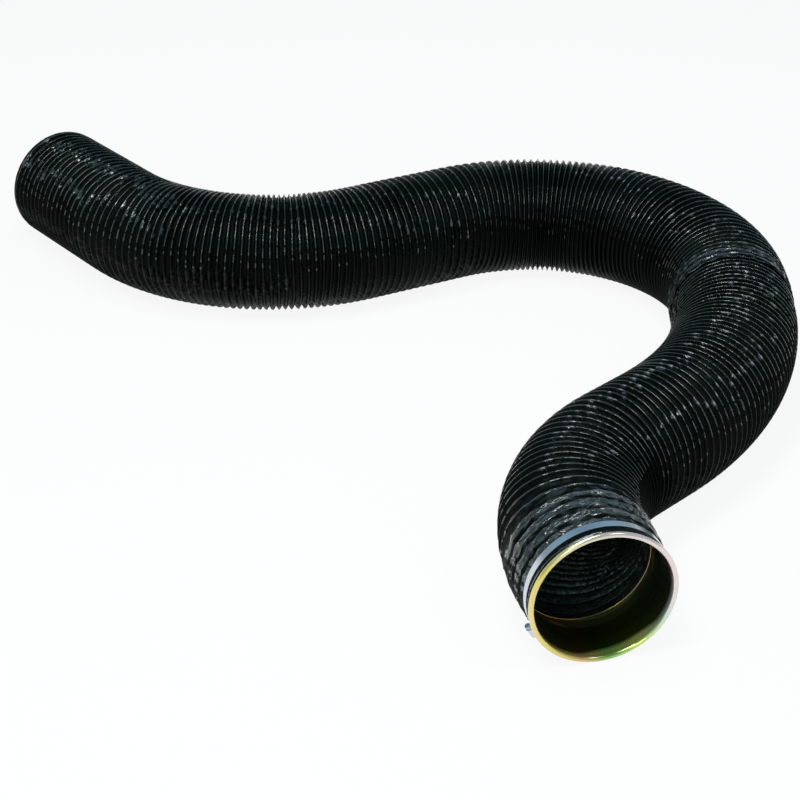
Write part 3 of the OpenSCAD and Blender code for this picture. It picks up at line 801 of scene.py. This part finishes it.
# Deep in the pleats the coating gets a darker, duller copy of its finish: painted shade. Over the wire and
# where it is drawn smooth it gets a lighter, glossier copy: painted light. Towards the floor it gets a
# darker, duller copy: painted shade. Inside it is dusty.
outside_finishes = [
    black_film("lit_crest_black_film", FILM_RUBBED_AND_LIT, FILM_WORN, (0.16, 0.28), 0.4, 1, FINE_WRINKLE),
    black_film("underside_shade_black_film", FILM_BLACK, FILM_RUBBED_AND_LIT, (0.35, 0.45), 0.1, 0, FINE_WRINKLE),
    black_film("pleat_shade_black_film", FILM_BLACK, FILM_BLACK, (0.35, 0.5), 0.06, 0, FINE_WRINKLE),
]
LIT_CREST_FINISH, UNDERSIDE_SHADE_FINISH, PLEAT_SHADE_FINISH = range(3)
inside_finish = black_film("black_film_inside", FILM_WORN, FILM_DUSTY, (0.3, 0.4), 0.5, 0, LOOSE_WRINKLE)


def keep(piece, name, values):
    """Keeps a value at each of a piece's points, for its finish."""
    kind, field = ("FLOAT", "value") if values.ndim == 1 else ("FLOAT_VECTOR", "vector")
    attribute = piece.data.attributes.new(name, kind, "POINT")
    attribute.data.foreach_set(field, values.astype(np.float32).ravel())


def film_piece(name, coil, shape, start, end, rows, columns):
    """One stretch of film, with its finishes inside and out and what they are to show at its points."""
    crest, depth, slack, folds = shape
    s, angle, faces = film_mesh(coil, start, end, rows, columns)
    points = film_points(coil, crest, depth, slack, folds, s, angle)
    piece = new_piece(name, points, faces, outside_finishes[0], "black_film")
    for finish in outside_finishes[1:] + [inside_finish] * 3:
        piece.data.materials.append(finish)
    fall, kink = pleat_depth(coil, slack, folds, s, angle)
    # Closed pleats add to the depth, so their crests take the darker copy: painted shade
    shade_depth = fall - level(KINK_LIT_DEPTH, s) * kink + shade_when_closed(s, angle)
    low = np.sin(angle) + UNDERSIDE_SHADE_EDGE * crease(s, angle) < level(UNDERSIDE_SHADE, s)
    for face in piece.data.polygons:
        corners = list(face.vertices)
        # Faces low down take the darker, duller copy: painted shade underneath
        finish_by_height = UNDERSIDE_SHADE_FINISH if low[corners[0]] else LIT_CREST_FINISH
        # Faces deep in a pleat take the darker copy, painted shade; the rest take the lighter copy, painted
        # light
        face.material_index = PLEAT_SHADE_FINISH if np.mean(shade_depth[corners]) > LIT_DEPTH else finish_by_height
        face.use_smooth = bool(np.max(kink[corners]) < 0.5)
    keep(piece, "unrolled", np.stack([CREST_R * np.cos(angle), CREST_R * np.sin(angle), s], axis=-1))
    on_top = (SLACK_AT_SIDES + (1 - SLACK_AT_SIDES) * np.sin(angle)).clip(SLACK_BELOW)
    loose = level(slack, s) * opened(s, angle) * on_top * (1 - LOST_IN_PLEATS * fall).clip(0)
    keep(piece, "slack", loose)
    keep(piece, "creased", (1 - LOST_IN_SLACK * level(slack, s)) * opened(s, angle))
    # Quick waves over the film, of no size that the eye can follow, pick the kinks whose painted glints are
    # fainter
    spared = np.sin(1000 * s.round(2) + 40 * angle)**2
    bare = kink * (1 - fall / GLINT_DEPTH).clip(0) * level(PAINTED_GLINT_SHARE, s) * (1 - FAINTER_GLINTS * spared)
    keep(piece, "painted_glint", bare)
    # The film is thickened inwards, and its inside takes the last three of the finishes
    skin = piece.modifiers.new("thickness", "SOLIDIFY")
    skin.thickness = FILM_T
    skin.offset = -1
    skin.material_offset = 3
    return piece


def film_pieces(name, coil, shape, start, end, rows, columns):
    """A stretch of film in as many pieces as its turns of wire ask for."""
    count = math.ceil((coil.at(end) - coil.at(start)) / PIECE_TURNS)
    cuts = np.linspace(start, end, count + 1)
    return [film_piece(numbered(name + "_skin"), coil, shape, cuts[i], cuts[i + 1], rows, columns)
            for i in range(count)]


FRONT_SHAPE = (FRONT_CREST, FRONT_DEPTH, FRONT_SLACK, FRONT_FOLDS)
REAR_SHAPE = (REAR_CREST, REAR_DEPTH, REAR_SLACK, REAR_FOLDS)
for name, start, end, moves in FRONT_STRETCHES:
    rows, columns = (CUFF_ROWS, CUFF_COLUMNS) if name == "cuff" else (PLEAT_ROWS, FILM_COLUMNS)
    for film in film_pieces(name, front_coil, FRONT_SHAPE, start, end, rows, columns):
        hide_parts(name + "_film")
        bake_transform(film)
mouth = film_piece("rear_mouth_skin", rear_coil, REAR_SHAPE, LIP, NECK_END, CUFF_ROWS, CUFF_COLUMNS)
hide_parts("rear_mouth_film")
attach(mouth, "lap")
for name, start, end, moves in REAR_STRETCHES:
    for film in film_pieces(name, rear_coil, REAR_SHAPE, start, end, PLEAT_ROWS, FILM_COLUMNS):
        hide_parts(name + "_film")
        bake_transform(film)
hem = film_piece("tail_hem_skin", rear_coil, REAR_SHAPE, TAIL_END_END, HEM_END, CUFF_ROWS, FILM_COLUMNS)
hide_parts("tail_hem")
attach(hem, "tail_end")

# Floor, light and camera: a plain white studio floor, soft light from above and the photograph's view
FLOOR_SIZE = 60
FLOOR_GAP = 0.0001
FLOOR_WHITE = "f7f7f7"
FLOOR_GLOW = 0.9
# The room's colours from the floor up to the ceiling: a white edge, then pale walls and a dark ceiling
ROOM = [(0, "ffffff"), (0.05, "ffffff"), (0.10, "b4bcbe"), (0.25, "a4b8c0"), (0.55, "9cc2da"),
        (0.8, "505c62"), (1, "3c4244")]
ROOM_LIGHT = 0.8
# The camera's place, its degrees to the right and down, and its lens in mm
CAMERA_AT = (-0.7152, -1.8361, 1.4560)
CAMERA_YAW = 13.261
CAMERA_PITCH = 30.407
CAMERA_LENS = 81.15


def studio_floor():
    """Matt white card that stays white to the camera and keeps the shadow of what stands on it."""
    material, tree, shader = new_material("studio_floor")
    shader.inputs["Base Color"].default_value = linear(FLOOR_WHITE)
    shader.inputs["Roughness"].default_value = 0.9
    shader.inputs["Specular IOR Level"].default_value = 0
    glow = add(tree, "ShaderNodeEmission", inputs={"Color": linear("ffffff"), "Strength": 1})
    path = add(tree, "ShaderNodeLightPath")
    seen = add(tree, "ShaderNodeMath", {"operation": "MAXIMUM"},
               {0: path.outputs["Is Camera Ray"], 1: path.outputs["Is Glossy Ray"]})
    seen = add(tree, "ShaderNodeMath", {"operation": "MAXIMUM"},
               {0: seen.outputs[0], 1: path.outputs["Is Transmission Ray"]})
    share = add(tree, "ShaderNodeMath", {"operation": "MULTIPLY"}, {0: seen.outputs[0], 1: FLOOR_GLOW})
    mixed = add(tree, "ShaderNodeMixShader",
                inputs={0: share.outputs[0], 1: shader.outputs[0], 2: glow.outputs[0]})
    tree.links.new(mixed.outputs[0], tree.nodes["Material Output"].inputs["Surface"])
    return material


half = FLOOR_SIZE / 2
card = bpy.data.meshes.new("floor")
corners = ((-half, -half), (half, -half), (half, half), (-half, half))
card.from_pydata([(x, y, FLOOR_Z - FLOOR_GAP) for x, y in corners], [], [(0, 1, 2, 3)])
card.materials.append(studio_floor())
floor = bpy.data.objects.new("floor", card)
bpy.context.scene.collection.objects.link(floor)


def lamp(name, at, aim, size, watts, code):
    """A square soft box that faces a point."""
    light = bpy.data.lights.new(name, "AREA")
    light.size = size
    light.energy = watts
    light.color = linear(code)[:3]
    box = bpy.data.objects.new(name, light)
    bpy.context.scene.collection.objects.link(box)
    box.location = at
    direction = Vector(aim) - Vector(at)
    box.rotation_euler = direction.to_track_quat("-Z", "Y").to_euler()


lamp("overhead", (-0.3, 0.5, 2.7), (-0.1, 0.6, 0), 0.9, 22, "f4f8ff")
lamp("key", (-1.1, -0.4, 2.8), (0, 0.6, 0), 0.85, 40, "fffdf8")
lamp("side", (1.3, -0.7, 2.6), (0.2, 0.6, 0), 0.6, 12, "f4f8ff")
lamp("front", (-1.1, -2.4, 1.3), (0, 0.3, 0), 0.8, 12, "f4fff8")

world = bpy.data.worlds.new("studio")
bpy.context.scene.world = world
world.use_nodes = True
tree = world.node_tree
around = add(tree, "ShaderNodeTexCoord").outputs["Generated"]
up = add(tree, "ShaderNodeSeparateXYZ", inputs={0: around})
room = colour_band(tree, up.outputs["Z"], ROOM)
tree.links.new(room, tree.nodes["Background"].inputs["Color"])
tree.nodes["Background"].inputs["Strength"].default_value = ROOM_LIGHT

view = bpy.data.cameras.new("view")
view.lens = CAMERA_LENS
view.clip_end = 50
camera = bpy.data.objects.new("view", view)
bpy.context.scene.collection.objects.link(camera)
camera.location = CAMERA_AT
camera.rotation_euler = (math.radians(90 - CAMERA_PITCH), 0, math.radians(-CAMERA_YAW))
bpy.context.scene.camera = camera
bpy.context.scene.view_settings.view_transform = "Standard"
